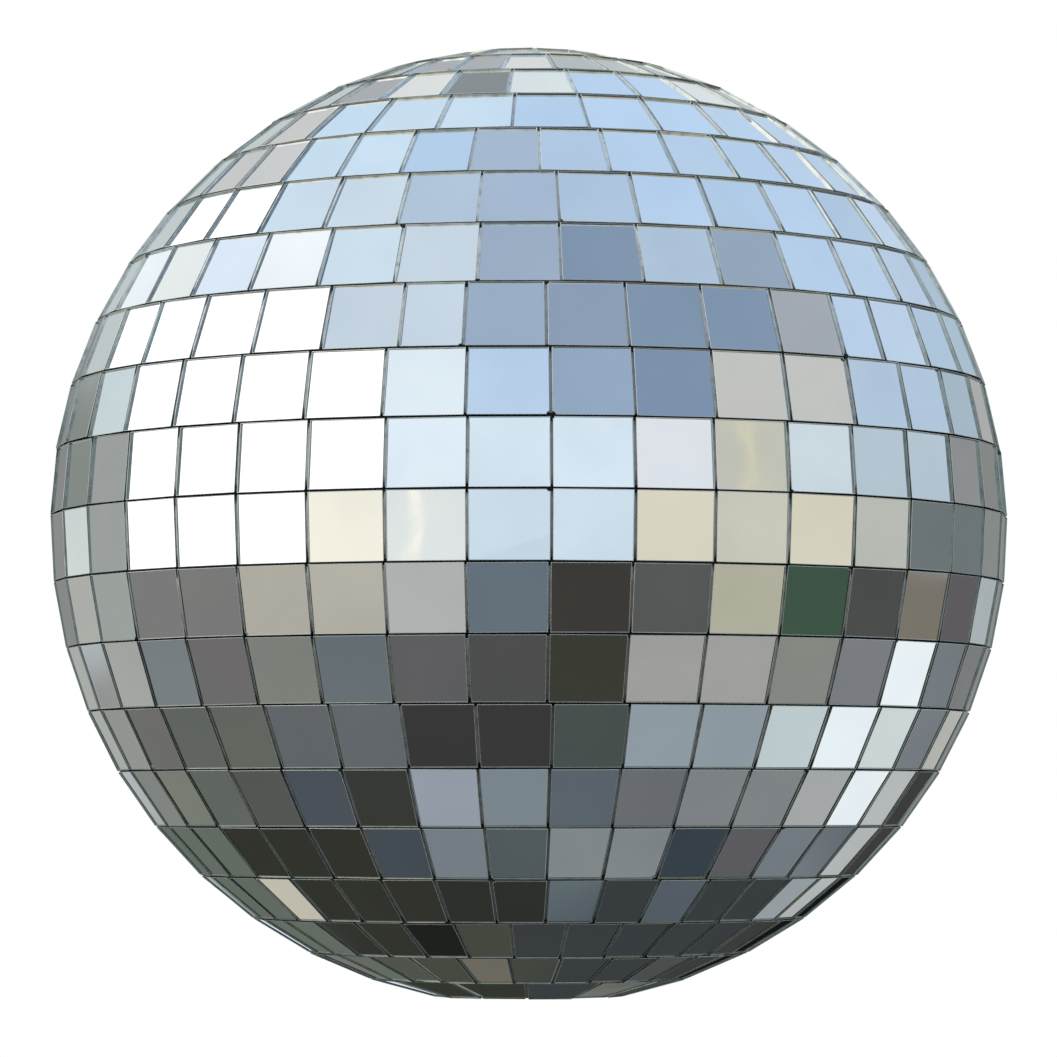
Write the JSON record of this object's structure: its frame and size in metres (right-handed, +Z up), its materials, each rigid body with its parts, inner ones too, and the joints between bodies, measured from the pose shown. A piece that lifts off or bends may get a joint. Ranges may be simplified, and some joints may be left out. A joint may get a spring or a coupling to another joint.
{
  "type": "mirror ball",
  "caption": "Mirror ball of flat tapered glass tiles laid in rows on a hollow core, turning on a pole-to-pole spindle with a hanging ring that folds into its top recess.",
  "frame": {"origin": "centre of the ball, on the spindle's axis", "axes": "+Z up along the spindle towards the hanging eye; -Y is the side first seen; +X to its right, along the eye's hole"},
  "size_m": [0.2996, 0.2998, 0.2949],
  "materials": {
    "mirror_glass": "flat polished mirror glass with clear cut edges",
    "core_plastic": "moulded, matt black",
    "chrome_steel": "chrome plate over pressed or drawn steel",
    "zinc_steel": "bright zinc plate",
    "nylon": "natural nylon"
  },
  "bodies": {
    "hanger": {"spindle": "zinc_steel", "top_washer": "zinc_steel", "thrust_washer": "zinc_steel", "lock_nut": "zinc_steel"},
    "ball": {"mirror_row_north_01": "mirror_glass", "mirror_row_north_02": "mirror_glass", "mirror_row_north_03": "mirror_glass", "mirror_row_north_04": "mirror_glass", "mirror_row_north_05": "mirror_glass", "mirror_row_north_06": "mirror_glass", "mirror_row_north_07": "mirror_glass", "mirror_row_north_08": "mirror_glass", "mirror_row_north_09": "mirror_glass", "mirror_row_north_10": "mirror_glass", "mirror_row_south_01": "mirror_glass", "mirror_row_south_02": "mirror_glass", "mirror_row_south_03": "mirror_glass", "mirror_row_south_04": "mirror_glass", "mirror_row_south_05": "mirror_glass", "mirror_row_south_06": "mirror_glass", "mirror_row_south_07": "mirror_glass", "mirror_row_south_08": "mirror_glass", "mirror_row_south_09": "mirror_glass", "mirror_row_south_10": "mirror_glass", "upper_core_shell": "core_plastic", "lower_core_shell": "core_plastic", "seam_joining_ring": "core_plastic", "top_pan": "chrome_steel", "bottom_pan": "chrome_steel", "top_pan_screw_1": "zinc_steel", "top_pan_screw_2": "zinc_steel", "top_pan_screw_3": "zinc_steel", "bottom_pan_screw_1": "zinc_steel", "bottom_pan_screw_2": "zinc_steel", "bottom_pan_screw_3": "zinc_steel", "top_bush": "nylon", "bottom_bush": "nylon"},
    "ring": {"hanging_ring": "chrome_steel"}
  },
  "joints": [
    {"name": "ball_spin", "type": "hinge", "parent": "hanger", "child": "ball", "pos_m": [0, 0, 0], "axis": [0, 0, 1], "continuous": true},
    {"name": "ring_swing", "type": "hinge", "parent": "hanger", "child": "ring", "pos_m": [0, 0, 0.14], "axis": [1, 0, 0], "range_deg": [0, 229]}
  ]
}
